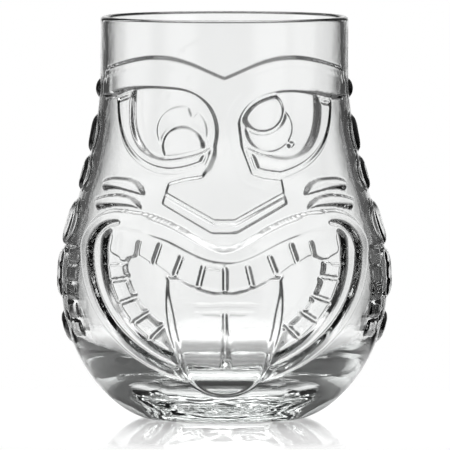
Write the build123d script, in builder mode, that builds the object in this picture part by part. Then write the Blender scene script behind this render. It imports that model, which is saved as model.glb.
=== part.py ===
from build123d import *

import os
from math import cos, radians, sin

# Clear pressed-glass tumbler with a tiki mask moulded on its front.
# The glass is one casting: a turned cup, and features that stand out from its outer wall.
# Each feature is a solid of its own whose back lies on the wall's outer surface.
# Millimetres, +Z up, origin at the centre of the foot, the mask faces -Y.
# "left" is the -X side, which is the left hand of someone facing the mask.

# ---- Driving dimensions -------------------------------------------------------------
HEIGHT = 120.0
RIM_RADIUS = 37.0
BELLY_RADIUS = 48.7
BELLY_HEIGHT = 41.0
FOOT_RADIUS = 23.8
NECK_HEIGHT = 104.0      # above this the wall is a plain cylinder
RIM_THICKNESS = 2.4
RIM_ROUNDING = 1.1
BELLY_THICKNESS = 3.4
BASE_THICKNESS = 12.0    # glass under the middle of the drinking space
BASE_JOIN_HEIGHT = 12.0  # the heavy base ends here and the belly's wall begins
BELLY_TOP_HEIGHT = 66.0  # the belly's wall ends here and the upper wall begins
PUNT_RADIUS = 17.0       # shallow hollow under the foot
PUNT_ROOF_RADIUS = 14.6
PUNT_DEPTH = 0.8

# How far each kind of feature stands out from the wall.
BROW_PROUD = 1.6
EYE_BAND_PROUD = 1.3
PUPIL_PROUD = 1.0
IRIS_PROUD = 0.6
NOSE_LEDGE_PROUD = 0.9
CHEEK_PROUD = 1.2
UPPER_LIP_PROUD = 1.5
OUTER_LIP_PROUD = 1.4
INNER_LIP_PROUD = 1.2
TOOTH_PROUD = 1.0
FANG_PROUD = 1.2
TONGUE_PROUD = 1.8
SIDE_PROUD = 1.5
TILE_PROUD = 0.8
BACK_PROUD = 1.0

REACH = 60.0             # further than any feature is from the axis
OVERSHOOT = 1.0          # how far a cut runs past the rim
GAP = 0.5                # groove between neighbouring features

# The mouth is a nest of ellipses about one centre, each (half width, half height).
MOUTH_CENTRE = (0.0, 50.0)
OUTER_LIP_OUTSIDE = (42.0, 37.5)
OUTER_LIP_INSIDE = (38.6, 34.4)
INNER_LIP_OUTSIDE = (38.0, 33.8)
INNER_LIP_INSIDE = (34.6, 31.2)
LOWER_TEETH_OUTSIDE = (34.0, 30.6)
LOWER_TEETH_INSIDE = (28.8, 25.4)

os.makedirs("parts", exist_ok=True)


# ---- The turned glass ---------------------------------------------------------------
def outer_points(proud=0.0):
    """Outer wall from the foot to the neck as (radius, height), moved outwards by proud."""
    line = [
        (FOOT_RADIUS, 0.0),
        (31.8, 4.1),
        (40.4, 13.4),
        (46.0, 24.5),
        (BELLY_RADIUS, BELLY_HEIGHT),
        (47.2, 54.0),
        (43.3, 67.0),
        (39.8, 80.0),
        (37.7, 92.0),
        (RIM_RADIUS, NECK_HEIGHT),
    ]
    return [(radius + proud, height) for radius, height in line]


def turned_blank():
    """Solid of revolution inside the outer wall."""
    wall = outer_points()
    with BuildPart() as blank:
        with BuildSketch(Plane.XZ):
            with BuildLine():
                Polyline((0, HEIGHT), (0, 0), wall[0])
                Spline(wall)
                Polyline(wall[-1], (RIM_RADIUS, HEIGHT), (0, HEIGHT))
            make_face()
        revolve(axis=Axis.Z)
    return blank.part


def drinking_space():
    """The hollow inside the cup, from its rounded floor to past the rim."""
    bore_radius = RIM_RADIUS - RIM_THICKNESS
    with BuildPart() as hollow:
        with BuildSketch(Plane.XZ):
            with BuildLine():
                Spline(
                    (0, BASE_THICKNESS),
                    (10.0, BASE_THICKNESS + 0.1),
                    (20.0, 12.7),
                    (29.0, 14.6),
                    (36.2, 18.6),
                    (41.2, 24.4),
                    (43.9, 31.5),
                    (BELLY_RADIUS - BELLY_THICKNESS, BELLY_HEIGHT),
                    (43.8, 54.0),
                    (40.0, 67.0),
                    (36.8, 79.0),
                    (34.9, 93.0),
                    (bore_radius, NECK_HEIGHT),
                )
                Polyline(
                    (bore_radius, NECK_HEIGHT),
                    (bore_radius, HEIGHT + OVERSHOOT),
                    (0, HEIGHT + OVERSHOOT),
                    (0, BASE_THICKNESS),
                )
            make_face()
        revolve(axis=Axis.Z)
    return hollow.part


def band(proud):
    """The layer between the outer wall and a surface that stands proud of it."""
    inside = outer_points()
    outside = outer_points(proud)
    with BuildPart() as layer:
        with BuildSketch(Plane.XZ):
            with BuildLine():
                Spline(inside)
                Spline(outside)
                Line(inside[0], outside[0])
                Line(inside[-1], outside[-1])
            make_face()
        revolve(axis=Axis.Z)
        with BuildSketch(Plane.XY.offset(NECK_HEIGHT)):
            Circle(RIM_RADIUS + proud)
            Circle(RIM_RADIUS, mode=Mode.SUBTRACT)
        extrude(amount=HEIGHT - NECK_HEIGHT)
    return layer.part


def keep_band(proud):
    """Trim the open part to the layer between the wall and a surface proud of it."""
    add(band(proud), mode=Mode.INTERSECT)


def save(piece, name):
    """Label a finished piece and write its STEP file."""
    piece.part.label = name
    export_step(piece.part, "parts/" + name + ".step")


# ---- Cup: upper wall, belly and heavy base ------------------------------------------
def slab(bottom, top):
    """Everything between two heights."""
    with BuildPart(Plane.XY.offset(bottom)) as layer:
        Cylinder(REACH, top - bottom, align=(Align.CENTER, Align.CENTER, Align.MIN))
    return layer.part


with BuildPart() as upper_wall:
    add(turned_blank())
    add(drinking_space(), mode=Mode.SUBTRACT)
    rim_edges = upper_wall.edges().filter_by(GeomType.CIRCLE).group_by(Axis.Z)[-1]
    fillet(rim_edges, RIM_ROUNDING)
    add(slab(0, BELLY_TOP_HEIGHT), mode=Mode.SUBTRACT)
save(upper_wall, "upper_wall")

with BuildPart() as belly_wall:
    add(turned_blank())
    add(drinking_space(), mode=Mode.SUBTRACT)
    add(slab(BASE_JOIN_HEIGHT, BELLY_TOP_HEIGHT), mode=Mode.INTERSECT)
save(belly_wall, "belly_wall")

with BuildPart() as heavy_base:
    add(turned_blank())
    add(slab(0, BASE_JOIN_HEIGHT), mode=Mode.INTERSECT)
    add(drinking_space(), mode=Mode.SUBTRACT)
    Cone(
        PUNT_RADIUS,
        PUNT_ROOF_RADIUS,
        PUNT_DEPTH,
        align=(Align.CENTER, Align.CENTER, Align.MIN),
        mode=Mode.SUBTRACT,
    )
save(heavy_base, "heavy_base")


# ---- Helpers for outlines drawn on the front, as (x, height) ------------------------
def flipped(points, side):
    """The points on the +X side for side 1, or mirrored to the -X side for side -1."""
    return [(side * x, z) for x, z in points]


def both_sides(points):
    """A run of points from the middle outwards, with its mirror image joined before it."""
    return flipped(points[:0:-1], -1) + points


def between(upper, lower):
    """Face between an upper and a lower curve that both run from left to right."""
    with BuildLine() as edge:
        Spline(upper)
        Line(upper[-1], lower[-1])
        Spline(lower)
        Line(upper[0], lower[0])
    make_face(edge.edges())


def ray(angle):
    """Far point in a direction on the +X side, in degrees below the horizontal."""
    return (REACH * cos(radians(angle)), -REACH * sin(radians(angle)))


def lip_face(corner, outside, crease, inside):
    """Band of a lower lip: along the ellipses below the corners, and up to the upper lip."""
    with BuildLine() as edge:
        Spline(corner)
        EllipticalCenterArc(MOUTH_CENTRE, *outside, start_angle=270, arc_size=90)
        Line((0, MOUTH_CENTRE[1] - outside[1]), (0, MOUTH_CENTRE[1] - inside[1]))
        EllipticalCenterArc(MOUTH_CENTRE, *inside, start_angle=270, arc_size=90)
        Spline(crease)
        Line(crease[0], corner[0])
    make_face(edge.edges())
    mirror(about=Plane.YZ)


def tongue_face(margin=0.0, mode=Mode.ADD):
    """Outline of the tongue, widened by a margin, from its tip up to its root."""
    side_line = [(x + margin, z) for x, z in TONGUE_SIDE[1:]]
    side_line = [(0, TONGUE_SIDE[0][1] - margin)] + side_line
    root = TONGUE_ROOT[:-1] + [side_line[-1]]
    with BuildLine() as edge:
        Spline(both_sides(side_line))
        Spline(both_sides(root))
    make_face(edge.edges(), mode=mode)


# ---- Brow and nose: one T-shaped plateau --------------------------------------------
BROW_TOP = [(0, 103.3), (4.5, 105.3), (10.5, 107.8), (18.0, 109.3), (26.0, 108.4), (34.5, 105.2)]
OVER_RIGHT_EYE = [(26.6, 97.6), (16.5, 98.6), (8.8, 96.2), (4.5, 89.8)]
RIGHT_OF_NOSE = [
    (4.5, 89.8), (5.3, 83.3), (8.3, 75.2), (11.5, 74.2), (16.8, 73.4), (17.6, 69.2), (3.0, 61.2),
]
LEFT_OF_NOSE = [
    (3.0, 61.2), (-3.0, 61.2), (-17.4, 69.2), (-16.4, 72.3), (-11.5, 73.8), (-6.6, 74.6),
]
AROUND_LEFT_EYE = [
    (-6.6, 74.6), (-4.0, 80.8), (-2.6, 87.5), (-4.6, 94.3), (-10.0, 98.6), (-17.5, 99.7),
    (-25.0, 99.4), (-31.0, 97.2),
]

with BuildPart() as brow_and_nose:
    with BuildSketch(Plane.XZ):
        with BuildLine():
            Spline(BROW_TOP)
            Polyline((34.5, 105.2), (35.0, 96.3), (31.5, 96.2), (26.6, 97.6))
            Spline(OVER_RIGHT_EYE)
            Polyline(RIGHT_OF_NOSE)
            Polyline(LEFT_OF_NOSE)
            Spline(AROUND_LEFT_EYE)
            Polyline((-31.0, 97.2), (-35.0, 96.3), (-34.5, 105.2))
            Spline(flipped(BROW_TOP, -1))
        make_face()
    extrude(amount=REACH)
    keep_band(BROW_PROUD)
save(brow_and_nose, "brow_and_nose")

# A lower step under the tip of the nose, which follows its chevron.
with BuildPart() as nose_ledge:
    with BuildSketch(Plane.XZ):
        Polygon(
            (-17.4, 69.2), (-3.0, 61.2), (3.0, 61.2), (17.6, 69.2),
            (18.6, 66.0), (3.8, 57.6), (-3.8, 57.6), (-18.4, 66.0),
            align=None,
        )
    extrude(amount=REACH)
    keep_band(NOSE_LEDGE_PROUD)
save(nose_ledge, "nose_ledge")

# ---- Eyes: a lower-lid band, a pupil and an iris each -------------------------------
with BuildPart() as left_eye_band:
    with BuildSketch(Plane.XZ):
        with BuildLine():
            Spline((-31.4, 98.0), (-31.2, 90.0), (-29.0, 82.0), (-24.5, 77.0), (-18.0, 74.7),
                   (-11.5, 75.2), (-3.0, 78.5))
            Line((-3.0, 78.5), (-2.0, 83.8))
            Spline((-2.0, 83.8), (-7.0, 81.6), (-13.5, 79.9), (-20.0, 80.0), (-24.5, 84.0),
                   (-26.3, 91.0), (-26.0, 100.0))
            Line((-26.0, 100.0), (-31.4, 98.0))
        make_face()
    extrude(amount=REACH)
    keep_band(EYE_BAND_PROUD)
    add(brow_and_nose.part, mode=Mode.SUBTRACT)
save(left_eye_band, "left_eye_band")

with BuildPart() as right_eye_band:
    with BuildSketch(Plane.XZ):
        with BuildLine():
            Spline((31.4, 98.5), (31.3, 90.5), (29.6, 83.0), (25.5, 77.6), (20.5, 74.7),
                   (14.0, 73.0))
            Polyline((14.0, 73.0), (7.0, 72.5), (3.0, 77.0), (3.0, 84.4))
            Spline((3.0, 84.4), (8.5, 82.2), (13.5, 80.7), (18.5, 80.1), (22.8, 82.0),
                   (25.4, 86.0), (26.5, 92.0), (26.4, 100.0))
            Line((26.4, 100.0), (31.4, 98.5))
        make_face()
    extrude(amount=REACH)
    keep_band(EYE_BAND_PROUD)
    add(brow_and_nose.part, mode=Mode.SUBTRACT)
save(right_eye_band, "right_eye_band")

# Discs of the eyes, as (centre, radius).
LEFT_PUPIL = ((-12.0, 83.0), 6.4)
RIGHT_PUPIL = ((11.0, 93.2), 6.4)
LEFT_IRIS = ((-12.4, 87.4), 7.5)
RIGHT_IRIS = ((13.0, 88.2), 6.9)
LEFT_IRIS_NICK = [(-9.3, 91.6), (-10.9, 96.0), (-6.6, 94.6)]
RIGHT_IRIS_SPUR = [(17.2, 84.6), (21.2, 83.9), (19.3, 82.0)]

with BuildPart() as left_pupil:
    with BuildSketch(Plane.XZ):
        with Locations(LEFT_PUPIL[0]):
            Circle(LEFT_PUPIL[1])
    extrude(amount=REACH)
    keep_band(PUPIL_PROUD)
    add(left_eye_band.part, mode=Mode.SUBTRACT)
    add(brow_and_nose.part, mode=Mode.SUBTRACT)
save(left_pupil, "left_pupil")

with BuildPart() as right_pupil:
    with BuildSketch(Plane.XZ):
        with Locations(RIGHT_PUPIL[0]):
            Circle(RIGHT_PUPIL[1])
    extrude(amount=REACH)
    keep_band(PUPIL_PROUD)
    add(brow_and_nose.part, mode=Mode.SUBTRACT)
save(right_pupil, "right_pupil")

# Each iris is a crescent that shows past the pupil.
# The left one has a nick at its top, and the right one a spur at its bottom.
with BuildPart() as left_iris:
    with BuildSketch(Plane.XZ):
        with Locations(LEFT_IRIS[0]):
            Circle(LEFT_IRIS[1])
        with Locations(LEFT_PUPIL[0]):
            Circle(LEFT_PUPIL[1], mode=Mode.SUBTRACT)
        Polygon(*LEFT_IRIS_NICK, align=None, mode=Mode.SUBTRACT)
    extrude(amount=REACH)
    keep_band(IRIS_PROUD)
    add(left_eye_band.part, mode=Mode.SUBTRACT)
    add(brow_and_nose.part, mode=Mode.SUBTRACT)
save(left_iris, "left_iris")

with BuildPart() as right_iris:
    with BuildSketch(Plane.XZ):
        with Locations(RIGHT_IRIS[0]):
            Circle(RIGHT_IRIS[1])
        Polygon(*RIGHT_IRIS_SPUR, align=None)
        with Locations(RIGHT_PUPIL[0]):
            Circle(RIGHT_PUPIL[1], mode=Mode.SUBTRACT)
    extrude(amount=REACH)
    keep_band(IRIS_PROUD)
    add(right_eye_band.part, mode=Mode.SUBTRACT)
    add(brow_and_nose.part, mode=Mode.SUBTRACT)
save(right_iris, "right_iris")

# ---- Cheeks: two folds on each side -------------------------------------------------
UPPER_FOLD_TOP = [(23.8, 69.6), (25.3, 72.0), (29.5, 73.2), (33.0, 73.0), (35.8, 71.9)]
UPPER_FOLD_UNDER = [(23.6, 68.6), (27.0, 69.3), (31.0, 70.1), (35.8, 69.6)]
LOWER_FOLD_TOP = [(24.8, 65.4), (26.3, 67.2), (30.0, 68.3), (34.0, 68.0), (38.2, 66.4)]
LOWER_FOLD_UNDER = [(24.4, 64.4), (27.5, 65.2), (32.0, 65.2), (37.6, 64.0)]

for side, side_name in ((-1, "left"), (1, "right")):
    with BuildPart() as cheek_folds:
        with BuildSketch(Plane.XZ):
            between(flipped(UPPER_FOLD_TOP, side), flipped(UPPER_FOLD_UNDER, side))
            between(flipped(LOWER_FOLD_TOP, side), flipped(LOWER_FOLD_UNDER, side))
        extrude(amount=REACH)
        keep_band(CHEEK_PROUD)
    save(cheek_folds, side_name + "_cheek_folds")

# ---- Mouth --------------------------------------------------------------------------
LIP_TOP = [(0, 53.4), (4.5, 54.8), (9.5, 57.6), (16.0, 61.0), (22.5, 63.1), (29.5, 63.6)]
LIP_UNDER = [(0, 48.6), (4.5, 49.2), (9.0, 50.9), (15.0, 54.0), (20.5, 56.3), (26.0, 57.6), (31.0, 58.2)]

# The corners where the two lower lips rise to meet the upper one.
OUTER_LIP_CORNER = [(28.5, 63.7), (35.6, 62.7), (40.2, 58.2), (42.0, 50.0)]
OUTER_LIP_CREASE = [(29.0, 60.4), (34.2, 59.6), (37.4, 56.4), (38.6, 50.0)]
INNER_LIP_CORNER = [(29.2, 59.7), (33.8, 59.0), (36.8, 55.9), (38.0, 50.0)]
INNER_LIP_CREASE = [(31.0, 58.3), (33.6, 57.3), (34.5, 54.5), (34.6, 50.0)]

TONGUE_SIDE = [(0, 8.8), (5.5, 9.9), (10.0, 13.3), (13.2, 19.0), (16.2, 28.0), (17.3, 36.0), (16.6, 45.6)]
TONGUE_ROOT = [(0, 39.4), (5.0, 40.0), (10.0, 41.8), (14.0, 44.0), (16.6, 45.6)]
TONGUE_GROOVE = ((0, 27.0), 14.0, 0.9)   # middle, length, width

# Where one upper tooth meets the next, as (top, bottom), from the middle outwards.
UPPER_TOOTH_JOINTS = [
    ((0.0, 47.4), (0.0, 40.4)),
    ((6.4, 48.1), (7.9, 41.9)),
    ((12.8, 50.9), (15.0, 45.2)),
    ((19.0, 54.3), (20.9, 48.8)),
    ((24.4, 56.6), (25.6, 51.0)),
]
FANG_OUTLINE = [(26.3, 50.4), (25.2, 56.8), (32.6, 57.6), (33.8, 51.6), (29.4, 49.4)]
FANG_ROUNDING = 1.6

# Where one lower tooth meets the next, in degrees below the horizontal.
LOWER_TOOTH_JOINTS = (2.0, 11.0, 23.0, 35.0, 47.5, 62.0)

with BuildPart() as upper_lip:
    with BuildSketch(Plane.XZ):
        between(both_sides(LIP_TOP), both_sides(LIP_UNDER))
    extrude(amount=REACH)
    keep_band(UPPER_LIP_PROUD)
save(upper_lip, "upper_lip")

with BuildPart() as upper_teeth:
    with BuildSketch(Plane.XZ):
        for side in (-1, 1):
            for inner, outer in zip(UPPER_TOOTH_JOINTS, UPPER_TOOTH_JOINTS[1:]):
                corners = [
                    (inner[0][0] + GAP, inner[0][1]),
                    (outer[0][0] - GAP, outer[0][1]),
                    (outer[1][0] - GAP, outer[1][1]),
                    (inner[1][0] + GAP, inner[1][1]),
                ]
                Polygon(*flipped(corners, side), align=None)
    extrude(amount=REACH)
    keep_band(TOOTH_PROUD)
save(upper_teeth, "upper_teeth")

with BuildPart() as fangs:
    with BuildSketch(Plane.XZ) as fang_sketch:
        for side in (-1, 1):
            Polygon(*flipped(FANG_OUTLINE, side), align=None)
        fillet(fang_sketch.vertices(), FANG_ROUNDING)
    extrude(amount=REACH)
    keep_band(FANG_PROUD)
save(fangs, "fangs")

# Five lower teeth curve down each side, from the fang to the tongue.
with BuildPart() as lower_teeth:
    with BuildSketch(Plane.XZ):
        with Locations(MOUTH_CENTRE):
            for side in (-1, 1):
                span = [(0, 0), ray(LOWER_TOOTH_JOINTS[0]), ray(LOWER_TOOTH_JOINTS[-1])]
                Polygon(*flipped(span, side), align=None)
            Ellipse(*LOWER_TEETH_OUTSIDE, mode=Mode.INTERSECT)
            Ellipse(*LOWER_TEETH_INSIDE, mode=Mode.SUBTRACT)
            for angle in LOWER_TOOTH_JOINTS:
                for direction in (-angle, 180 + angle):
                    with PolarLocations(REACH / 2, 1, direction):
                        Rectangle(REACH, 2 * GAP, mode=Mode.SUBTRACT)
        tongue_face(2 * GAP, Mode.SUBTRACT)
    extrude(amount=REACH)
    keep_band(TOOTH_PROUD)
save(lower_teeth, "lower_teeth")

# Two concentric lips run round the mouth and stop either side of the tongue.
with BuildPart() as outer_lip:
    with BuildSketch(Plane.XZ):
        lip_face(OUTER_LIP_CORNER, OUTER_LIP_OUTSIDE, OUTER_LIP_CREASE, OUTER_LIP_INSIDE)
        tongue_face(GAP, Mode.SUBTRACT)
    extrude(amount=REACH)
    keep_band(OUTER_LIP_PROUD)
    add(upper_lip.part, mode=Mode.SUBTRACT)
save(outer_lip, "outer_lip")

with BuildPart() as inner_lip:
    with BuildSketch(Plane.XZ):
        lip_face(INNER_LIP_CORNER, INNER_LIP_OUTSIDE, INNER_LIP_CREASE, INNER_LIP_INSIDE)
        tongue_face(GAP, Mode.SUBTRACT)
    extrude(amount=REACH)
    keep_band(INNER_LIP_PROUD)
    add(upper_lip.part, mode=Mode.SUBTRACT)
save(inner_lip, "inner_lip")

# The tongue hangs from the upper teeth, over the lower lips, to the bottom of the cup.
with BuildPart() as tongue:
    with BuildSketch(Plane.XZ):
        tongue_face()
        with Locations(TONGUE_GROOVE[0]):
            SlotOverall(TONGUE_GROOVE[1], TONGUE_GROOVE[2], rotation=90, mode=Mode.SUBTRACT)
    extrude(amount=REACH)
    keep_band(TONGUE_PROUD)
save(tongue, "tongue")

# ---- Sides: a column of ornaments, and a row of tiles in front of it ----------------
SIDE_BEAD = ((0, 98.6), 2.4)
# Rounded lozenges down the side, each (height, half width, half height).
SIDE_LOZENGES = [(85.2, 5.0, 5.2), (73.4, 6.0, 4.8), (58.6, 8.0, 6.4), (27.2, 7.0, 4.4)]
SIDE_BARS = (43.6, 15.0, 4.0, 5.0)       # middle height, length, width, pitch
SIDE_BAR_ROUNDING = 1.2
TILE_COLUMN = (-17.5, 39.2)              # middle of the row of tiles, as (y, height)
TILE_SIZE = (8.0, 4.6)
TILE_ROUNDING = 0.8
TILE_PITCH = 5.4
TILE_COUNT = 5

for side, side_name in ((-1, "left"), (1, "right")):
    with BuildPart() as side_ornaments:
        with BuildSketch(Plane.YZ):
            with Locations(SIDE_BEAD[0]):
                Circle(SIDE_BEAD[1])
            for height, half_width, half_height in SIDE_LOZENGES:
                with Locations((0, height)):
                    Ellipse(half_width, half_height)
            with Locations((0, SIDE_BARS[0])):
                with GridLocations(1, SIDE_BARS[3], 1, 3):
                    RectangleRounded(SIDE_BARS[1], SIDE_BARS[2], SIDE_BAR_ROUNDING)
        extrude(amount=side * REACH)
        keep_band(SIDE_PROUD)
    save(side_ornaments, side_name + "_side_ornaments")

    with BuildPart() as side_tiles:
        with BuildSketch(Plane.YZ):
            with Locations(TILE_COLUMN):
                with GridLocations(1, TILE_PITCH, 1, TILE_COUNT):
                    RectangleRounded(TILE_SIZE[0], TILE_SIZE[1], TILE_ROUNDING)
        extrude(amount=side * REACH)
        keep_band(TILE_PROUD)
    save(side_tiles, side_name + "_side_tiles")

# ---- Back: a narrow column of triangles and bars ------------------------------------
BACK_BARS = [(25.7, 10.4), (42.5, 10.4)]    # (height, half length)
BACK_BAR_WIDTH = 1.8
BACK_BAR_ROUNDING = 0.6

with BuildPart() as back_ornament:
    with BuildSketch(Plane.XZ):
        Polygon((-8.6, 23.8), (8.6, 23.8), (0.0, 15.4), align=None)
        Polygon(
            (-12.9, 27.9), (12.9, 27.9), (5.4, 31.9), (11.5, 39.8), (-11.5, 39.8), (-5.4, 31.9),
            align=None,
        )
        Polygon((-8.6, 44.6), (8.6, 44.6), (0.0, 53.0), align=None)
        for height, half_length in BACK_BARS:
            with Locations((0, height)):
                RectangleRounded(2 * half_length, BACK_BAR_WIDTH, BACK_BAR_ROUNDING)
    extrude(amount=-REACH)
    keep_band(BACK_PROUD)
save(back_ornament, "back_ornament")
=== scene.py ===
import math

import bpy
import numpy as np
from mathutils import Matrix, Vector
from mathutils.bvhtree import BVHTree
from mathutils.kdtree import KDTree


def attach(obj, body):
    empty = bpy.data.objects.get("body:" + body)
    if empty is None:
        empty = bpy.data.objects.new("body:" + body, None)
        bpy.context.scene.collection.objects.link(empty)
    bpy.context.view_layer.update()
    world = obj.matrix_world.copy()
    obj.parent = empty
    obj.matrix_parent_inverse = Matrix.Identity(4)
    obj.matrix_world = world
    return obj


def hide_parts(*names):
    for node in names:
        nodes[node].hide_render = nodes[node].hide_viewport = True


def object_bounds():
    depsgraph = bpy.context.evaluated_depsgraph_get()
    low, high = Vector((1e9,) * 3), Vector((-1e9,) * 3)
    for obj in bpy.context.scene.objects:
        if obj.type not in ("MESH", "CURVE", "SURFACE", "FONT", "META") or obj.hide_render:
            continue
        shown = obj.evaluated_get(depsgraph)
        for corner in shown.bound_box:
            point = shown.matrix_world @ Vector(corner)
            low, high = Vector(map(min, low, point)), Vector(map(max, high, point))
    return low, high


# A clear pressed-glass tumbler with a mask moulded in its wall, on a pale floor.
# The cup is one closed skin of glass. Its outer wall is the CAD's turned wall, and the
# relief on it is raised from the outlines of the CAD's relief nodes, with the bevels and
# rounded edges that a glass mould leaves.
# Metres, +Z up, the mask faces -Y.

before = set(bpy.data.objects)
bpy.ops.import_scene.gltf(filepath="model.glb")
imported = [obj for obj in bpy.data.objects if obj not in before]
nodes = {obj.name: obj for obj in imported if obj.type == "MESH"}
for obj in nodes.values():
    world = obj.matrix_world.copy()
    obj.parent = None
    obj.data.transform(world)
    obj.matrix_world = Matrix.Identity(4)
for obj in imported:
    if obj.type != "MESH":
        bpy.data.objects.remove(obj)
cad_low, cad_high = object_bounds()

MM = 0.001
HEIGHT = cad_high[2]
CUP_NODES = ("upper_wall", "belly_wall", "heavy_base")   # every other node is relief

# ---- Mesh spacing: fine over the mask, coarser at the sides and back ----------------
FRONT_HALF_ANGLE = math.radians(82)
SIDE_HALF_ANGLE = math.radians(104)
FRONT_STEP = 0.40 * MM
SIDE_STEP = 0.50 * MM
BACK_STEP = 0.60 * MM
ROW_STEP = 0.40 * MM
INNER_ROW_STEP = 1.0 * MM
COARSE = 3               # fine columns to one column of the smooth inner surfaces

# ---- Reading the CAD ----------------------------------------------------------------
ON_WALL = 0.05 * MM      # how near a point is to the wall to count as on it
INSIDE_FACE = 0.07 * MM  # how near a point is to a relief face to count as inside it
OUTLINE_PITCH = 0.10 * MM    # spacing of the points along a relief face's outline
MARGIN = 1.0 * MM        # how far outside its face a feature is followed
RIM_ZONE = 1.05 * MM     # the rim is rounded this far down
PROFILE_GAP = 0.2 * MM   # corners of the CAD's profile nearer than this are one corner
FINE_WALL_STEP = 0.1 * MM
GRAIN = 0.001 * MM       # corners nearer than this are one corner
LEVEL = 0.01 * MM        # heights nearer than this are one height
FAR = 1.0                # stands for no face near
TINY = 1e-30             # keeps a division by zero away
OUTWARD = 0.05           # a face whose normal points out by more than this is outer wall
NOT_DOWN = -0.5          # a face whose normal points up by more than this isn't underneath

# ---- Foot and rim -------------------------------------------------------------------
FOOT_TOP = 0.9 * MM      # the rolled edge of the foot runs on into the wall here
FOOT_FLAT = 1.0 * MM     # how far inside the rolled edge the first ring of the foot is
FOOT_ZONE = 1.2 * MM     # the foot and its hollow are below this
LEAN_SPAN = 0.5 * MM     # the wall's lean at the foot is taken over this height
ARC_SHORT = 5            # degrees by which the rolled edge stops short of the wall
RIM_CLEAR = 0.3 * MM     # gap between the inside's top ring and the rim's half round
AXIS_CLEAR = 0.5 * MM    # gap between the inside's lowest ring and the axis
PUNT_EASE = 0.8 * MM     # half width of the soft slope round the hollow under the foot
ROLL_RINGS = 7           # rings of points on the rolled edge
RIM_RINGS = 15           # rings of points on the half round of the rim

# ---- Relief -------------------------------------------------------------------------
EDGE_SHARE = 0.06        # share of its height that a bevel has at the outline
CREASE_HALF_WIDTH = 0.45 * MM
SLOT_STEEP_SIDE = 0.2 * MM
SLOT_GENTLE_SIDE = 1.05 * MM
TEETH_APART = 1.5 * MM   # teeth nearer together than this have a slot between them
# Middles of round shapes, as (x, z): the band of each eye, and the brow's curve above the
# right eye.
LEFT_EYE = (-13 * MM, 88 * MM)
RIGHT_EYE = (13 * MM, 90 * MM)
BROW_CURVE = (13 * MM, 87 * MM)

# ---- Floor --------------------------------------------------------------------------
FLOOR_RADIUS = 0.18
FLOOR_SIDES = 96
FLOOR_DROP = 0.02 * MM


# ---- Reading the turned wall from the CAD -------------------------------------------
def triangles(name):
    """Corner positions of a CAD node's triangles, as an (n, 3, 3) array."""
    mesh = nodes[name].data
    mesh.calc_loop_triangles()
    points = np.empty(len(mesh.vertices) * 3)
    mesh.vertices.foreach_get("co", points)
    corners = np.empty(len(mesh.loop_triangles) * 3, int)
    mesh.loop_triangles.foreach_get("vertices", corners)
    return points.reshape(-1, 3)[corners.reshape(-1, 3)]


def facing(tri):
    """Radial and vertical parts of each triangle's unit normal."""
    normal = np.cross(tri[:, 1] - tri[:, 0], tri[:, 2] - tri[:, 0])
    normal /= np.linalg.norm(normal, axis=1)[:, None] + TINY
    middle = tri.mean(axis=1)
    radius = np.hypot(middle[:, 0], middle[:, 1]) + TINY
    radial = (normal[:, 0] * middle[:, 0] + normal[:, 1] * middle[:, 1]) / radius
    return radial, normal[:, 2]


def profile_points(tri):
    """Distinct (radius, height) of the corners, in order up the wall."""
    flat = tri.reshape(-1, 3)
    pairs = np.stack([np.hypot(flat[:, 0], flat[:, 1]), flat[:, 2]], axis=1)
    pairs = np.unique(np.round(pairs, 6), axis=0)
    pairs = pairs[np.lexsort((pairs[:, 0], pairs[:, 1]))]
    kept = [pairs[0]]
    for pair in pairs[1:]:
        if np.hypot(*(pair - kept[-1])) > PROFILE_GAP:
            kept.append(pair)
    return np.array(kept)


class Curve:
    """Natural cubic spline through points, by distance along the chords."""

    def __init__(self, points):
        self.points = points
        self.at = np.concatenate([[0], np.cumsum(np.linalg.norm(np.diff(points, axis=0), axis=1))])
        gap = np.diff(self.at)
        n = len(points)
        system = np.eye(n)
        right = np.zeros((n, points.shape[1]))
        for i in range(1, n - 1):
            system[i, i - 1 : i + 2] = gap[i - 1], 2 * (gap[i - 1] + gap[i]), gap[i]
            right[i] = 6 * (
                (points[i + 1] - points[i]) / gap[i] - (points[i] - points[i - 1]) / gap[i - 1]
            )
        self.bend = np.linalg.solve(system, right)

    def __call__(self, where):
        i = np.clip(np.searchsorted(self.at, where) - 1, 0, len(self.at) - 2)
        gap = self.at[i + 1] - self.at[i]
        a = ((self.at[i + 1] - where) / gap)[:, None]
        b = 1 - a
        curve = (a**3 - a) * self.bend[i] + (b**3 - b) * self.bend[i + 1]
        return a * self.points[i] + b * self.points[i + 1] + curve * (gap**2)[:, None] / 6

    def even(self, step):
        """Points spaced evenly along the curve."""
        count = max(2, int(round(self.at[-1] / step)) + 1)
        return self(np.linspace(0, self.at[-1], count))


wall = np.concatenate([triangles("upper_wall"), triangles("belly_wall")])
base = triangles("heavy_base")
wall_out, wall_up = facing(wall)
base_out = facing(base)[0]
below_rim = wall[:, :, 2].max(axis=1) < HEIGHT - RIM_ZONE
outer_wall = Curve(
    profile_points(
        np.concatenate([wall[(wall_out > OUTWARD) & below_rim], base[base_out > OUTWARD]])
    )
)
inner_wall = Curve(profile_points(wall[(wall_out < 0) & (wall_up > NOT_DOWN) & below_rim]))
RIM_OUTER = outer_wall.points[-1, 0]
RIM_INNER = inner_wall.points[-1, 0]

fine_wall = outer_wall.even(FINE_WALL_STEP)


def wall_radius(height):
    """Radius of the smooth outer wall at a height."""
    return np.interp(height, fine_wall[:, 1], fine_wall[:, 0])


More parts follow.
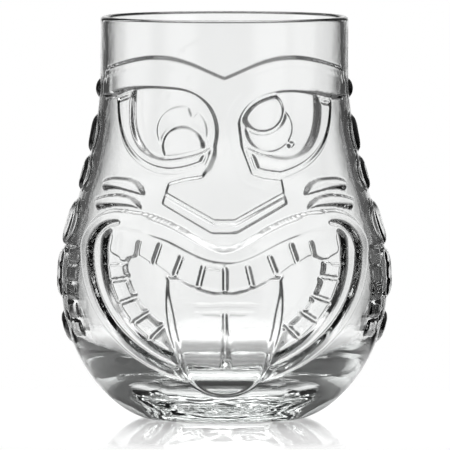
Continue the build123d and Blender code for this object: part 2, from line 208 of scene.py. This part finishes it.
# ---- The outer wall's grid ----------------------------------------------------------
def column_angles():
    """Angles round the cup from the middle of the front, fine there and coarse behind."""
    widest = outer_wall.points[:, 0].max()
    spans = [
        (0.0, FRONT_HALF_ANGLE, FRONT_STEP),
        (FRONT_HALF_ANGLE, SIDE_HALF_ANGLE, SIDE_STEP),
        (SIDE_HALF_ANGLE, math.pi, BACK_STEP),
    ]
    half = []
    for start, stop, step in spans:
        count = int(round((stop - start) * widest / step / (2 * COARSE))) * 2 * COARSE
        half.append(np.linspace(start, stop, count, endpoint=False))
    half = np.concatenate(half + [[math.pi]])
    return np.concatenate([half, -half[-2:0:-1]])


angles = column_angles()
rows = outer_wall.even(ROW_STEP)
rim_start = HEIGHT - (RIM_OUTER - RIM_INNER) / 2
rows = rows[(rows[:, 1] > FOOT_TOP) & (rows[:, 1] < rim_start - ROW_STEP / 2)]

radius_grid, angle_grid = np.meshgrid(rows[:, 0], angles, indexing="ij")
height_grid = np.meshgrid(rows[:, 1], angles, indexing="ij")[0]
grid = np.stack(
    [radius_grid * np.sin(angle_grid), -radius_grid * np.cos(angle_grid), height_grid], axis=2
)


# ---- Relief from the outlines of the CAD's nodes ------------------------------------
class Face:
    """The face of one relief solid that lies on the wall."""

    def __init__(self, tri):
        self.low, self.high = tri.min(axis=(0, 1)), tri.max(axis=(0, 1))
        self.tree = BVHTree.FromPolygons(
            [Vector(p) for p in tri.reshape(-1, 3)],
            [(i, i + 1, i + 2) for i in range(0, len(tri) * 3, 3)],
        )
        self.outline = outline_points(tri)

    def cells_near(self, reach):
        """Row and column of the grid's points within a box round the face."""
        return np.argwhere(((grid > self.low - reach) & (grid < self.high + reach)).all(axis=2))

    def away(self, cells):
        """Distance of grid points from the face, 0 on it."""
        out = np.array([self.tree.find_nearest(Vector(grid[r, c]))[3] for r, c in cells])
        return np.where(out < INSIDE_FACE, 0.0, out)


def joined(tri):
    """Triangles sorted into sets that share corners."""
    keys = {}
    owner = list(range(len(tri)))

    def find(i):
        while owner[i] != i:
            owner[i] = owner[owner[i]]
            i = owner[i]
        return i

    for i, corners in enumerate(np.round(tri / GRAIN).astype(int)):
        for corner in corners:
            other = keys.setdefault(tuple(corner), i)
            owner[find(i)] = find(other)
    sets = {}
    for i in range(len(tri)):
        sets.setdefault(find(i), []).append(i)
    return [tri[members] for members in sets.values()]


def outline_points(tri):
    """Points along the free edges of a set of triangles."""
    edges = {}
    for corners in np.round(tri / GRAIN).astype(int):
        keys = [tuple(c) for c in corners]
        for a, b in ((0, 1), (1, 2), (2, 0)):
            edge = tuple(sorted((keys[a], keys[b])))
            edges[edge] = edges.get(edge, 0) + 1
    out = []
    for (a, b), uses in edges.items():
        if uses == 1 and a != b:
            start, stop = np.array(a) * GRAIN, np.array(b) * GRAIN
            count = int(np.linalg.norm(stop - start) / OUTLINE_PITCH) + 2
            out.append(start + (stop - start) * np.linspace(0, 1, count)[:, None])
    return np.concatenate(out)


faces_of = {}
proud_of = {}
for name in sorted(nodes):
    if name in CUP_NODES:
        continue
    tri = triangles(name)
    stand = np.hypot(tri[:, :, 0], tri[:, :, 1]) - wall_radius(tri[:, :, 2])
    proud_of[name] = stand.max()
    faces_of[name] = [Face(part) for part in joined(tri[(np.abs(stand) < ON_WALL).all(axis=1)])]


def point_tree(points):
    """A search tree of points."""
    tree = KDTree(len(points))
    for i, p in enumerate(points):
        tree.insert(p, i)
    tree.balance()
    return tree


def far_from(points, faces, distance):
    """The points that are further than a distance from the outlines of some faces."""
    if not faces:
        return points
    tree = point_tree(np.concatenate([face.outline for face in faces]))
    return points[[tree.find(p)[2] > distance for p in points]]


def free_outline(faces, others, join, meet):
    """Outline points that aren't near another face of the group, or near a face beside it."""
    out = []
    for face in faces:
        kept = far_from(face.outline, [f for f in faces if f is not face], join)
        out.append(far_from(kept, others, meet))
    return np.concatenate(out)


class Depth:
    """How deep grid points are inside a group of faces, and where the nearest edge is."""

    def __init__(self, names, beside=(), join=0.1 * MM, bridge=0.0, meet=0.1 * MM, reach=MARGIN):
        own = [face for name in names for face in faces_of[name]]
        others = [face for name in beside for face in faces_of[name]]
        nearest = np.full(relief.shape, FAR)
        second = np.full(relief.shape, FAR)
        owner = np.zeros(relief.shape, int)
        for i, face in enumerate(own):
            cells = face.cells_near(reach)
            away = face.away(cells)
            at = tuple(cells.T)
            owner[at] = np.where(away < nearest[at], i, owner[at])
            second[at] = np.minimum(second[at], np.maximum(nearest[at], away))
            nearest[at] = np.minimum(nearest[at], away)
        inside = nearest == 0
        inside |= nearest + second < bridge
        over = np.full(relief.shape, FAR)
        if others:
            for face in others:
                cells = face.cells_near(reach)
                cells = cells[nearest[tuple(cells.T)] < reach]
                if len(cells):
                    at = tuple(cells.T)
                    over[at] = np.minimum(over[at], face.away(cells))
            inside |= (over == 0) & (nearest < reach)
            inside |= nearest + over < meet
        self.at = np.nonzero((nearest < reach) | inside)
        self.nearest, self.second, self.over = nearest[self.at], second[self.at], over[self.at]
        points = free_outline(own, others, join, meet)
        tree = point_tree(points)
        found = [tree.find(Vector(p)) for p in grid[self.at]]
        self.edge = points[[hit[1] for hit in found]]
        distance = np.array([hit[2] for hit in found])
        self.depth = np.where(inside[self.at], distance, -distance)
        self.here = grid[self.at]
        middles = np.array([(face.low + face.high) / 2 for face in own])
        self.from_middle = self.here - middles[owner[self.at]]


def chamfer(depth, width):
    """A straight bevel from the outline in, as a share of the full height."""
    return np.clip(depth / width + EDGE_SHARE, 0, 1)


def rounded(depth, width):
    """A quarter round from the outline in, as a share of the full height."""
    return np.sqrt(1 - (1 - chamfer(depth, width)) ** 2)


def notch(offset, half_width):
    """1 in the middle of a V-shaped cut, 0 from its edges out."""
    return np.clip(1 - np.abs(offset) / half_width, 0, 1)


def stepped(depth, width):
    """A short steep edge, then a long gentle slope up to a thin crease."""
    crease = notch(depth - width, CREASE_HALF_WIDTH)
    return 0.66 * chamfer(depth, 0.6 * MM) + 0.34 * np.clip(depth / width, 0, 1) - 0.27 * crease


def fade(value, low, high):
    """A smooth change from 0 at one value to 1 at the other, both in millimetres."""
    t = np.clip((value / MM - low) / (high - low), 0, 1)
    return t * t * (3 - 2 * t)


def raise_by(group, height):
    """Lift the wall to a height, or cut it where the height is below it."""
    now = relief[group.at]
    relief[group.at] = np.where(height < 0, np.minimum(now, height), np.maximum(now, height))


def raise_brow_and_nose():
    """Wide bevels along the top and left of the nose, a long gentle one round the right eye.

    Elsewhere the bevel is narrow.
    """
    mask = Depth(["brow_and_nose"])
    x, z = mask.here[:, 0], mask.here[:, 2]
    edge_x, edge_z = mask.edge[:, 0], mask.edge[:, 2]
    from_middle = np.hypot(x - BROW_CURVE[0], z - BROW_CURVE[1])
    by_right_eye = fade(from_middle, 19, 16.5) * fade(x, -0.5, 1.5) * fade(z, 101, 98)
    along_top = fade(edge_z, 100.5, 103)
    beside_nose = fade(edge_x, 0, -2) * fade(edge_z, 84, 80) * fade(edge_z, 74.5, 77)
    at_ends = fade(np.abs(edge_x), 31, 34)
    wide_share = np.maximum(by_right_eye, along_top)
    wide = stepped(mask.depth, (2.5 + 1.4 * by_right_eye) * MM)
    narrow = chamfer(mask.depth, (1.0 + 1.4 * beside_nose - 0.3 * at_ends) * MM)
    profile = wide_share * wide + (1 - wide_share) * narrow
    raise_by(mask, proud_of["brow_and_nose"] * profile)


def raise_nose_ledge():
    """The bevel is wider and the ledge bolder on the right."""
    ledge = Depth(["nose_ledge"])
    on_right = fade(ledge.edge[:, 0], 1, 4)
    bevel = (0.8 + 0.5 * on_right) * MM
    boldness = 1.4 + 0.5 * on_right
    raise_by(ledge, boldness * proud_of["nose_ledge"] * chamfer(ledge.depth, bevel))


def raise_eye_band(side, centre, inner_bevel):
    """A band with a groove and a second step along its outer edge."""
    band = Depth([side + "_eye_band"])
    reach_of_edge = np.hypot(band.edge[:, 0] - centre[0], band.edge[:, 2] - centre[1])
    reach_here = np.hypot(band.here[:, 0] - centre[0], band.here[:, 2] - centre[1])
    outside = (reach_of_edge > reach_here) == (band.depth > 0)
    groove_at = 1.6 * MM
    groove = notch(band.depth - groove_at, 0.7 * MM)
    step_share = 0.3 - 0.1 * fade(np.abs(band.here[:, 0]), 20, 29)
    outer = (1 - step_share) * chamfer(band.depth, 0.7 * MM)
    outer += step_share * chamfer(band.depth - groove_at, 0.6 * MM) - 0.85 * groove
    inner = chamfer(band.depth, inner_bevel)
    raise_by(band, proud_of[side + "_eye_band"] * np.where(outside, outer, inner))


def raise_eye(side, centre, inner_bevel, pupil_boldness, iris_boldness):
    """The band, the pupil and the iris of one eye."""
    raise_eye_band(side, centre, inner_bevel)
    pupil = Depth([side + "_pupil"])
    height = pupil_boldness * proud_of[side + "_pupil"]
    raise_by(pupil, height * chamfer(pupil.depth, 1.4 * MM))
    iris = Depth([side + "_iris"])
    height = iris_boldness * proud_of[side + "_iris"]
    raise_by(iris, height * chamfer(iris.depth, 0.6 * MM))


def raise_cheek_folds(side):
    folds = Depth([side + "_cheek_folds"])
    raise_by(folds, proud_of[side + "_cheek_folds"] * rounded(folds.depth, 1.4 * MM))


def left_of_middle(x):
    """1 under the left half of the upper lip, 0 elsewhere."""
    return fade(x, 4, -2) * fade(x, -21, -15)


def raise_lips():
    """Three ridges that run into each other at the corners of the mouth.

    The upper one stands a little higher, with a straight bevel above and a steep one below.
    """
    lips = Depth(["upper_lip", "outer_lip", "inner_lip"], join=0.3 * MM)
    x, z = lips.here[:, 0], lips.here[:, 2]
    edge_z = lips.edge[:, 2]
    upper = fade(np.abs(x), 24, 20) * fade(z, 44, 48)
    above = upper * fade(edge_z - z, 0, 0.4)
    below = upper * fade(z - edge_z, 0, 0.4)
    profile = above * chamfer(lips.depth, 1.4 * MM)
    profile += below * chamfer(lips.depth, (0.7 + 0.6 * left_of_middle(x)) * MM)
    profile += (1 - above - below) * rounded(lips.depth, 1.6 * MM)
    raise_by(lips, proud_of["outer_lip"] * (1 + 0.4 * upper) * profile)


def raise_teeth():
    """One band that comes out of the lip, with a dark slot between each two teeth.

    A slot has one steep side and one sloping side. Left of the middle the band sinks under
    the lip.
    """
    teeth = Depth(
        ["upper_teeth", "fangs", "lower_teeth"], beside=["upper_lip"], join=1.7 * MM,
        bridge=TEETH_APART, meet=3.0 * MM, reach=3 * MM,
    )
    x = teeth.here[:, 0]
    along = teeth.from_middle[:, 0] + np.sign(x) * teeth.from_middle[:, 2]
    across = (teeth.second - teeth.nearest) / 2 * -np.sign(along)
    slot = notch(across, np.where(across < 0, SLOT_STEEP_SIDE, SLOT_GENTLE_SIDE))
    slot *= (teeth.nearest + teeth.second) < TEETH_APART
    sunk = np.clip(1 - teeth.over / (2.2 * MM), 0, 1) * left_of_middle(x)
    profile = chamfer(teeth.depth, 0.7 * MM) * (1 - 0.8 * sunk) - 1.6 * slot
    raise_by(teeth, proud_of["upper_teeth"] * profile)


def raise_tongue():
    """Side bevels in two steps, widest halfway down, and a cut down the middle.

    The cut widens towards the tip. The tongue comes out from under the upper teeth.
    """
    tongue = Depth(["tongue"], beside=["upper_teeth"], meet=1.7 * MM)
    x, z = tongue.here[:, 0], tongue.here[:, 2]
    edge_x, edge_z = tongue.edge[:, 0], tongue.edge[:, 2]
    halfway_down = fade(z, 12, 28) * fade(z, 46, 32)
    shelf = (0.4 + 2.0 * halfway_down) * MM
    two_steps = (chamfer(tongue.depth, 0.9 * MM) + chamfer(tongue.depth - shelf, 0.9 * MM)) / 2
    by_cad_groove = (np.abs(edge_x) < 0.6 * MM) & (edge_z > 19 * MM) & (edge_z < 35 * MM)
    at_root_corners = fade(np.abs(x), 12.5, 14.5) * fade(z, 44, 46)
    slope = np.where(by_cad_groove, 1.0, two_steps) * (1 - at_root_corners)
    half_cut = (0.45 + 0.85 * fade(z, 34, 21)) * MM
    cut = notch(x, half_cut * np.where(x < 0, 0.7, 1.6)) * fade(z, 18, 20.5)
    cut *= fade(z, 35.5, 33.5)
    raise_by(tongue, proud_of["tongue"] * slope * (1 - cut))


def raise_side(side):
    """Low domes, and small soft tiles in front of them."""
    column = Depth([side + "_side_ornaments"], join=1.2 * MM, bridge=1.1 * MM)
    raise_by(column, 0.9 * proud_of[side + "_side_ornaments"] * rounded(column.depth, 3.8 * MM))
    tiles = Depth([side + "_side_tiles"])
    raise_by(tiles, 0.7 * proud_of[side + "_side_tiles"] * rounded(tiles.depth, 1.6 * MM))


def raise_back():
    """Low soft blocks."""
    back = Depth(["back_ornament"])
    raise_by(back, 0.4 * proud_of["back_ornament"] * rounded(back.depth, 2.2 * MM))


def soften(field, passes):
    """Round the creases of a field over the grid with small averages."""
    for _ in range(passes):
        field = (np.roll(field, 1, 1) + 2 * field + np.roll(field, -1, 1)) / 4
        padded = np.pad(field, ((1, 1), (0, 0)), mode="edge")
        field = (padded[:-2] + 2 * field + padded[2:]) / 4
    return field


relief = np.zeros(radius_grid.shape)
raise_brow_and_nose()
raise_nose_ledge()
raise_eye("left", LEFT_EYE, 0.9 * MM, pupil_boldness=1.3, iris_boldness=1.0)
raise_eye("right", RIGHT_EYE, 1.5 * MM, pupil_boldness=1.9, iris_boldness=1.8)
for side in ("left", "right"):
    raise_cheek_folds(side)
raise_lips()
raise_teeth()
raise_tongue()
for side in ("left", "right"):
    raise_side(side)
raise_back()
relief = soften(relief, 1)


# ---- Building the skin --------------------------------------------------------------
def ring(radius, height, around, extra=0.0):
    """Points round the axis at a radius and height."""
    out = radius + extra
    return np.stack(
        [out * np.sin(around), -out * np.cos(around), np.full(len(around), height)], axis=1
    )


def rings_along(line, around, raised=None):
    """A ring of points for each (radius, height) of a line."""
    out = np.empty((len(line), len(around), 3))
    for i, (radius, height) in enumerate(line):
        extra = 0.0 if raised is None else raised[i]
        out[i] = ring(radius, height, around, extra)
    return out


def quarter(middle, start, stop, size, count):
    """Points on an arc of (radius, height) about a middle, between two angles in degrees."""
    turn = np.radians(np.linspace(start, stop, count))
    return np.stack([middle[0] + size * np.cos(turn), middle[1] + size * np.sin(turn)], axis=1)


# The foot's outer edge is rolled so that it runs on into the wall, and the rim is a half
# round.
lean = math.atan2(LEAN_SPAN, wall_radius(FOOT_TOP + LEAN_SPAN) - wall_radius(FOOT_TOP))
foot_rounding = FOOT_TOP / (1 - math.cos(lean))
foot_edge = wall_radius(FOOT_TOP) - foot_rounding * math.sin(lean)
arc_end = math.degrees(lean) - 90 - ARC_SHORT
foot_arc = quarter((foot_edge, foot_rounding), -90, arc_end, foot_rounding, ROLL_RINGS)
rim_half = (RIM_OUTER - RIM_INNER) / 2
rim_arc = quarter((RIM_INNER + rim_half, HEIGHT - rim_half), 0, 180, rim_half, RIM_RINGS)
fine_rings = np.concatenate([
    rings_along(foot_arc, angles),
    rings_along(rows, angles, relief),
    rings_along(rim_arc, angles),
])

# The smooth surfaces: down the inside to the middle of the floor, and under the foot.
coarse_angles = angles[::COARSE]
inner_line = inner_wall.even(INNER_ROW_STEP)[::-1]
below_rim_arc = inner_line[:, 1] < HEIGHT - rim_half - RIM_CLEAR
inner_line = inner_line[below_rim_arc & (inner_line[:, 0] > AXIS_CLEAR)]
inner_rings = rings_along(inner_line, coarse_angles)

foot = base[base[:, :, 2].max(axis=1) < FOOT_ZONE].reshape(-1, 3)
foot_radius = np.hypot(foot[:, 0], foot[:, 1])
hollow_radius = foot_radius[foot[:, 2] < LEVEL].min()
in_hollow = foot_radius < hollow_radius + 0.1 * MM
roof_height = foot[in_hollow, 2].max()
roof_radius = foot_radius[in_hollow & (foot[:, 2] > roof_height - LEVEL)].max()
under_line = np.array([
    (foot_edge - FOOT_FLAT, 0.0),
    (hollow_radius + PUNT_EASE, 0.0),
    (hollow_radius + 0.3 * PUNT_EASE, 0.06 * MM),
    (hollow_radius - 0.3 * PUNT_EASE, 0.22 * roof_height),
    (roof_radius + 0.5 * PUNT_EASE, 0.86 * roof_height),
    (roof_radius - 0.3 * PUNT_EASE, 0.98 * roof_height),
    (roof_radius - PUNT_EASE, roof_height),
    (roof_radius / 2, roof_height),
    (roof_radius / 8, roof_height),
])
under_rings = rings_along(under_line, coarse_angles)


def stack_faces(first, count, around):
    """Quads between rings of one size, each ring going on from the one before."""
    j = np.arange(around)
    after = (j + 1) % around
    out = []
    for i in range(count - 1):
        low, high = first + i * around, first + (i + 1) * around
        out.append(np.stack([low + j, low + after, high + after, high + j], axis=1))
    return np.concatenate(out).tolist()


def step_faces(fine_first, fine_around, coarse_first, flip):
    """Faces between a fine ring and a coarse ring, three fine sides to each coarse one."""
    coarse_around = fine_around // COARSE
    out = []
    for k in range(coarse_around):
        face = [fine_first + (k * COARSE + m) % fine_around for m in range(COARSE + 1)]
        face += [coarse_first + (k + 1) % coarse_around, coarse_first + k]
        out.append(face[::-1] if flip else face)
    return out


def fan_faces(first, around, middle, flip):
    """Triangles that close a ring to its middle point."""
    out = [(first + k, first + (k + 1) % around, middle) for k in range(around)]
    return [face[::-1] for face in out] if flip else out


fine_around, coarse_around = len(angles), len(coarse_angles)
points = np.concatenate([
    fine_rings.reshape(-1, 3),
    inner_rings.reshape(-1, 3),
    [(0, 0, inner_wall.points[0, 1])],
    under_rings.reshape(-1, 3),
    [(0, 0, roof_height)],
])
inner_first = len(fine_rings) * fine_around
floor_middle = inner_first + len(inner_rings) * coarse_around
under_first = floor_middle + 1
roof_middle = under_first + len(under_rings) * coarse_around
faces = stack_faces(0, len(fine_rings), fine_around)
faces += step_faces(inner_first - fine_around, fine_around, inner_first, False)
faces += stack_faces(inner_first, len(inner_rings), coarse_around)
faces += fan_faces(floor_middle - coarse_around, coarse_around, floor_middle, False)
faces += step_faces(0, fine_around, under_first, True)
faces += [face[::-1] for face in stack_faces(under_first, len(under_rings), coarse_around)]
faces += fan_faces(roof_middle - coarse_around, coarse_around, roof_middle, True)

mesh = bpy.data.meshes.new("tumbler")
mesh.from_pydata(points.tolist(), [], faces)
mesh.shade_smooth()
tumbler = bpy.data.objects.new("tumbler", mesh)
bpy.context.scene.collection.objects.link(tumbler)
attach(tumbler, "root")
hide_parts(*sorted(nodes))


# ---- Materials ----------------------------------------------------------------------
class Nodes:
    """Short calls for building a node tree."""

    def __init__(self, tree):
        self.tree = tree
        tree.nodes.clear()

    def add(self, kind, **values):
        node = self.tree.nodes.new(kind)
        for name, value in values.items():
            setattr(node, name, value)
        return node

    def join(self, source, target):
        self.tree.links.new(source, target)

    def feed(self, socket, value):
        if isinstance(value, bpy.types.NodeSocket):
            self.join(value, socket)
        else:
            socket.default_value = value

    def math(self, operation, a, b=0.0):
        node = self.add("ShaderNodeMath", operation=operation)
        self.feed(node.inputs[0], a)
        self.feed(node.inputs[1], b)
        return node.outputs[0]

    def wrapped(self, angle):
        """An angle brought between minus half a turn and half a turn."""
        node = self.add("ShaderNodeMath", operation="WRAP")
        self.feed(node.inputs[0], angle)
        node.inputs[1].default_value = math.pi
        node.inputs[2].default_value = -math.pi
        return node.outputs[0]

    def span(self, value, low, high, to_low=0.0, to_high=1.0):
        """A smooth change from one result to another as a value goes from low to high."""
        node = self.add("ShaderNodeMapRange", interpolation_type="SMOOTHSTEP")
        for socket, v in zip(node.inputs, (value, low, high, to_low, to_high)):
            self.feed(socket, v)
        return node.outputs[0]

    def noise(self, scale, detail=2.0, roughness=0.5, stretch=(1, 1, 1)):
        """Noise in the object's own coordinates."""
        where = self.add("ShaderNodeTexCoord").outputs["Object"]
        mapping = self.add("ShaderNodeMapping")
        mapping.inputs["Scale"].default_value = stretch
        self.join(where, mapping.inputs["Vector"])
        node = self.add("ShaderNodeTexNoise")
        self.join(mapping.outputs[0], node.inputs["Vector"])
        node.inputs["Scale"].default_value = scale
        node.inputs["Detail"].default_value = detail
        node.inputs["Roughness"].default_value = roughness
        return node.outputs["Fac"]


def glass_material():
    """Clear glass with a faint ripple, and more waves low down where it is thick."""
    material = bpy.data.materials.new("clear_glass")
    material.use_nodes = True
    n = Nodes(material.node_tree)
    out = n.add("ShaderNodeOutputMaterial")
    shader = n.add("ShaderNodeBsdfPrincipled")
    shader.inputs["Transmission Weight"].default_value = 1.0
    shader.inputs["IOR"].default_value = 1.51
    tint = n.add("ShaderNodeMix", data_type="RGBA")
    n.join(n.noise(40.0, 3.0), tint.inputs["Factor"])
    tint.inputs["A"].default_value = (0.985, 0.99, 0.988, 1)
    tint.inputs["B"].default_value = (0.995, 0.997, 0.996, 1)
    n.join(tint.outputs["Result"], shader.inputs["Base Color"])
    n.join(n.span(n.noise(120.0, 4.0), 0.35, 0.75, 0.0, 0.03), shader.inputs["Roughness"])
    ripple = n.add("ShaderNodeBump")
    ripple.inputs["Strength"].default_value = 0.25
    ripple.inputs["Distance"].default_value = 0.25 * MM
    n.join(n.noise(110.0, 2.0, 0.45), ripple.inputs["Height"])
    height = n.add("ShaderNodeSeparateXYZ")
    n.join(n.add("ShaderNodeTexCoord").outputs["Object"], height.inputs[0])
    low_down = n.span(height.outputs["Z"], 8 * MM, 30 * MM, 1.0, 0.0)
    uneven = n.add("ShaderNodeBump")
    uneven.inputs["Strength"].default_value = 0.5
    uneven.inputs["Distance"].default_value = 0.07 * MM
    waves = n.noise(130.0, 3.0, 0.5, (0.4, 0.4, 2.0))
    n.join(n.math("MULTIPLY", low_down, waves), uneven.inputs["Height"])
    n.join(ripple.outputs[0], uneven.inputs["Normal"])
    n.join(uneven.outputs[0], shader.inputs["Normal"])
    n.join(shader.outputs[0], out.inputs["Surface"])
    absorb = n.add("ShaderNodeVolumeAbsorption")
    absorb.inputs["Color"].default_value = (0.80, 0.82, 0.81, 1)
    absorb.inputs["Density"].default_value = 12.0
    n.join(absorb.outputs[0], out.inputs["Volume"])
    return material


mesh.materials.append(glass_material())


# ---- Floor: pale and glossy, fading out past the tumbler ----------------------------
FADE_FROM, FADE_TO = 0.088, 0.125        # the floor fades out between these radii
GLOW = 0.25                              # what the camera sees of it is a little brighter
# Painted shade that the glass sees on the floor under the tumbler, as the radii between which it
# brightens, and the levels.
SHADE_UNDER_BELLY = (0.046, 0.076, 0.52, 0.97)
SHADE_UNDER_FOOT = (0.018, 0.044, 0.13, 1.0)


def floor_material():
    """Pale floor for the camera. Light that goes through the glass sees painted shade on it,
    darkest at the foot.
    """
    material = bpy.data.materials.new("studio_floor")
    material.use_nodes = True
    n = Nodes(material.node_tree)
    out = n.add("ShaderNodeOutputMaterial")
    shader = n.add("ShaderNodeBsdfPrincipled")
    where = n.add("ShaderNodeTexCoord").outputs["Object"]
    length = n.add("ShaderNodeVectorMath", operation="LENGTH")
    n.join(where, length.inputs[0])
    radius = length.outputs["Value"]
    n.join(n.span(radius, FADE_FROM, FADE_TO, 1.0, 0.0), shader.inputs["Alpha"])
    grain = n.noise(60.0, 3.0)
    tint = n.add("ShaderNodeMix", data_type="RGBA")
    n.join(grain, tint.inputs["Factor"])
    tint.inputs["A"].default_value = (0.93, 0.93, 0.93, 1)
    tint.inputs["B"].default_value = (0.97, 0.97, 0.97, 1)
    sight = n.add("ShaderNodeLightPath").outputs["Is Camera Ray"]
    shown = n.add("ShaderNodeMix", data_type="RGBA")
    n.join(sight, shown.inputs["Factor"])
    # Painted shade under the tumbler: only rays through the glass see the floor darkened towards
    # the belly and foot.
    painted_shade = n.math("MULTIPLY", n.span(radius, *SHADE_UNDER_BELLY), n.span(radius, *SHADE_UNDER_FOOT))
    painted_shade_colour = n.add("ShaderNodeCombineColor")
    for socket in painted_shade_colour.inputs:
        n.join(painted_shade, socket)
    n.join(painted_shade_colour.outputs[0], shown.inputs["A"])
    n.join(tint.outputs["Result"], shown.inputs["B"])
    n.join(shown.outputs["Result"], shader.inputs["Base Color"])
    n.join(n.span(grain, 0.3, 0.7, 0.02, 0.05), shader.inputs["Roughness"])
    shader.inputs["Specular IOR Level"].default_value = 0.5
    shader.inputs["Emission Color"].default_value = (1.0, 1.0, 1.0, 1)
    n.join(n.math("MULTIPLY", sight, GLOW), shader.inputs["Emission Strength"])
    n.join(shader.outputs[0], out.inputs["Surface"])
    return material


floor_mesh = bpy.data.meshes.new("studio_floor")
turn = np.linspace(0, 2 * math.pi, FLOOR_SIDES, endpoint=False)
floor_edge = np.stack(
    [FLOOR_RADIUS * np.cos(turn), FLOOR_RADIUS * np.sin(turn), np.full(FLOOR_SIDES, -FLOOR_DROP)],
    axis=1,
)
floor_mesh.from_pydata(floor_edge.tolist(), [], [list(range(FLOOR_SIDES))])
floor_mesh.materials.append(floor_material())
floor = bpy.data.objects.new("studio_floor", floor_mesh)
bpy.context.scene.collection.objects.link(floor)


# ---- Studio: white all round for the camera, and four bright cards for the glass ----
# Cards as (direction, half width, lowest, highest), in degrees, where direction is turned
# from +Y towards +X. Each stands behind the tumbler for one viewing direction: level from the
# front (-Y), 25 degrees up from the front right (+X, -Y), level from the side (+X), and 15
# degrees up from the back left (-X, +Y). They were fitted to those views, which are the ones
# that it is reviewed from. This isn't even studio light: away from those directions nothing
# bright is behind the tumbler, and the glass looks dark.
WINDOWS = [
    (0, 9, -13, 14),
    (-45, 9, -42, -22),
    (-90, 9, -13, 14),
    (135, 10, -28, 14),
]
WINDOW_SOFTNESS = 15.0                   # degrees over which a card's edges fade
SURROUND = (-0.35, 0.25, 0.02, 0.13)     # brightens from below the horizon to above it
OVERHEAD_FROM, OVERHEAD_TO = 48, 60      # degrees up
OVERHEAD_LEVEL = 3.6


def studio():
    """White for the camera. The glass sees a dark surround, the cards and a bright overhead."""
    world = bpy.data.worlds.new("studio")
    bpy.context.scene.world = world
    world.use_nodes = True
    n = Nodes(world.node_tree)
    direction = n.add("ShaderNodeSeparateXYZ")
    n.join(n.add("ShaderNodeTexCoord").outputs["Generated"], direction.inputs[0])
    x, y, z = direction.outputs
    across = n.math("ARCTAN2", x, y)
    up = n.math("ARCSINE", z)

    def window(middle, half_width, lowest, highest):
        """A soft-edged bright card, placed by its directions in degrees."""
        soft = WINDOW_SOFTNESS
        turn = n.math("SUBTRACT", across, math.radians(middle))
        turn = n.math("ABSOLUTE", n.wrapped(turn))
        wide = n.span(turn, math.radians(half_width), math.radians(half_width + soft), 1.0, 0.0)
        over = n.span(up, math.radians(lowest - soft), math.radians(lowest))
        under = n.span(up, math.radians(highest), math.radians(highest + soft), 1.0, 0.0)
        return n.math("MULTIPLY", wide, n.math("MULTIPLY", over, under))

    level = n.span(z, *SURROUND)
    for card in WINDOWS:
        level = n.math("MAXIMUM", level, window(*card))
    overhead_edges = math.radians(OVERHEAD_FROM), math.radians(OVERHEAD_TO)
    level = n.math("MAXIMUM", level, n.span(up, *overhead_edges, 0.0, OVERHEAD_LEVEL))
    sight = n.add("ShaderNodeLightPath").outputs["Is Camera Ray"]
    seen = n.math("MAXIMUM", level, sight)
    background = n.add("ShaderNodeBackground")
    shade = n.add("ShaderNodeCombineColor")
    for socket in shade.inputs:
        n.join(seen, socket)
    n.join(shade.outputs[0], background.inputs["Color"])
    background.inputs["Strength"].default_value = 1.0
    out = n.add("ShaderNodeOutputWorld")
    n.join(background.outputs[0], out.inputs["Surface"])


studio()

# ---- Camera: a long lens from straight in front, a little above ---------------------
CAMERA_PLACE = (0.0, -2.98, 0.24)
CAMERA_TARGET = Vector((0.0, 0.0, 0.0575))
camera_data = bpy.data.cameras.new("camera")
camera_data.sensor_width = 36.0
camera_data.lens = 800.0
camera_data.clip_end = 50.0
camera_data.shift_x = 0.0013
camera = bpy.data.objects.new("camera", camera_data)
bpy.context.scene.collection.objects.link(camera)
camera.location = CAMERA_PLACE
camera.rotation_euler = (CAMERA_TARGET - camera.location).to_track_quat("-Z", "Y").to_euler()
bpy.context.scene.camera = camera

scene = bpy.context.scene
scene.view_settings.view_transform = "Standard"
scene.cycles.max_bounces = 24
scene.cycles.transmission_bounces = 24
scene.cycles.glossy_bounces = 8
scene.cycles.diffuse_bounces = 4
scene.cycles.transparent_max_bounces = 16
